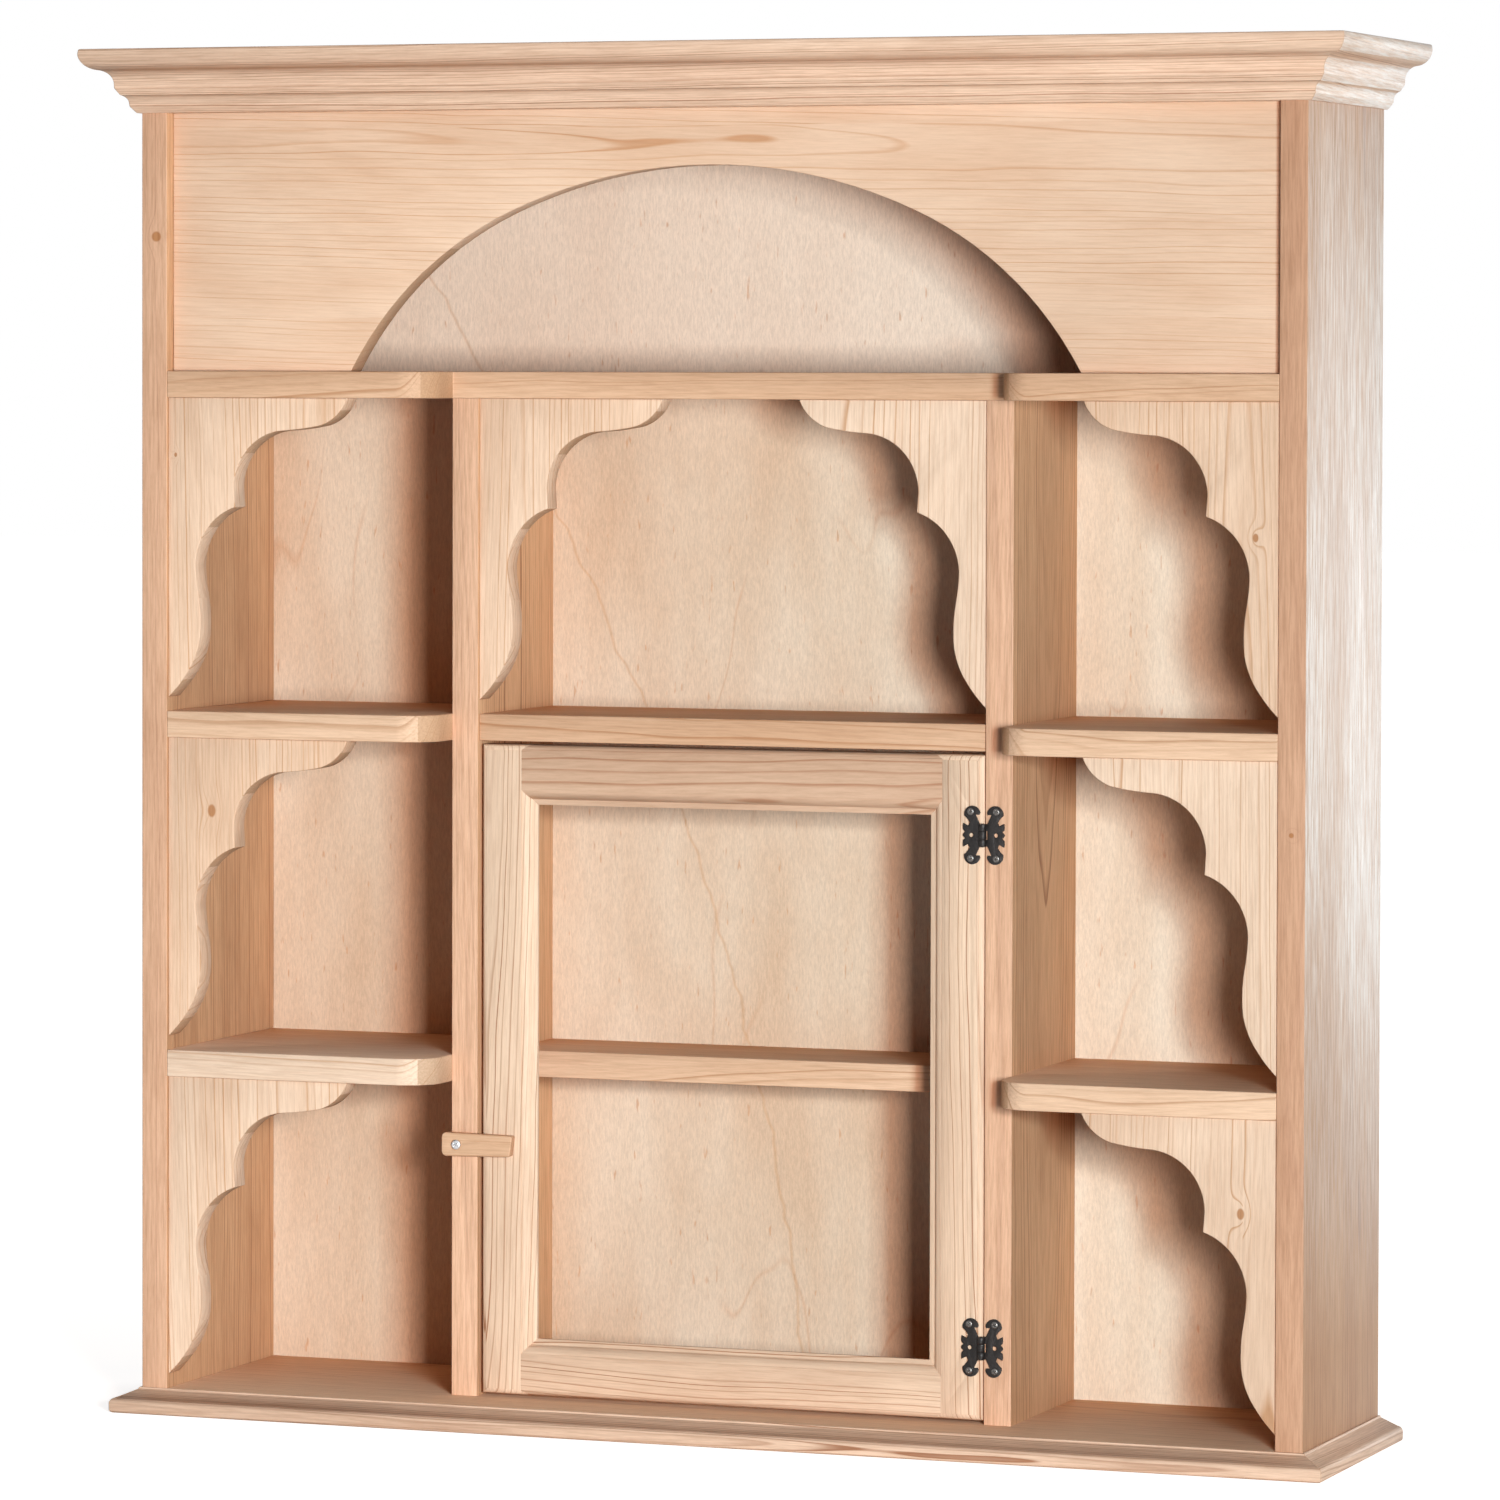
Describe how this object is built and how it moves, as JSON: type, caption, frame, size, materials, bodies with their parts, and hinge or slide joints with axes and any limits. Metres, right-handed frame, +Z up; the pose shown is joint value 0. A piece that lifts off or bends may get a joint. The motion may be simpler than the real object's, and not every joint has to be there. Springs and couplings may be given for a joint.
{
  "type": "bar cabinet",
  "caption": "Wide pine bar cabinet with an arched top bay, open side bays with scalloped brackets, a niche, and a framed door with butterfly hinges and a turning latch.",
  "frame": {"origin": "on the floor, at the centre of the cabinet's bounding box", "axes": "+Z up, -Y out of the front, +X to the right as seen from the front"},
  "size_m": [1.188, 0.285, 1.24],
  "materials": {
    "pine_side": "clear matt lacquer on planed pine, warm orange",
    "pine_shelf": "clear matt lacquer on planed pine boards",
    "pine_front": "clear matt lacquer on glued pale pine",
    "pine_moulding": "clear matt lacquer on moulded pine",
    "pine_door": "clear matt lacquer on planed pine",
    "pine_latch": "clear matt lacquer on planed pine",
    "plywood": "plain pale plywood",
    "iron": "black, rough cast",
    "zinc": "bright zinc plate"
  },
  "bodies": {
    "cabinet": {"arch_fascia": "pine_front", "back_panel": "plywood", "base_front": "pine_moulding", "base_left": "pine_moulding", "base_right": "pine_moulding", "bottom_board": "pine_shelf", "crown_front": "pine_moulding", "crown_left": "pine_moulding", "crown_rail": "pine_front", "crown_right": "pine_moulding", "divider_left": "pine_side", "divider_right": "pine_side", "hinge_screws_frame": "zinc", "inner_shelf": "pine_shelf", "latch_screw": "zinc", "lower_bracket_left": "pine_front", "lower_bracket_right": "pine_front", "lower_hinge_frame_leaf": "iron", "lower_hinge_pin": "iron", "lower_shelf_left": "pine_shelf", "lower_shelf_right": "pine_shelf", "niche_bracket_left": "pine_front", "niche_bracket_right": "pine_front", "niche_shelf": "pine_shelf", "side_board_left": "pine_side", "side_board_right": "pine_side", "top_board": "pine_shelf", "top_bracket_left": "pine_front", "top_bracket_right": "pine_front", "top_shelf": "pine_shelf", "upper_bracket_left": "pine_front", "upper_bracket_right": "pine_front", "upper_hinge_frame_leaf": "iron", "upper_hinge_pin": "iron", "upper_shelf_left": "pine_shelf", "upper_shelf_right": "pine_shelf"},
    "door": {"door_rail_bottom": "pine_door", "door_rail_top": "pine_door", "door_stile_left": "pine_door", "door_stile_right": "pine_door", "hinge_screws_door": "zinc", "lower_hinge_door_leaf": "iron", "upper_hinge_door_leaf": "iron"},
    "latch": {"turn_latch": "pine_latch"}
  },
  "joints": [
    {"name": "door_swing", "type": "hinge", "parent": "cabinet", "child": "door", "pos_m": [0.2405, -0.0465, 0.0901], "axis": [0, 0, 1], "range_deg": [0, 115]},
    {"name": "latch_turn", "type": "hinge", "parent": "cabinet", "child": "latch", "pos_m": [-0.259, -0.0465, 0.2505], "axis": [0, -1, 0], "range_deg": [-90, 90]}
  ]
}
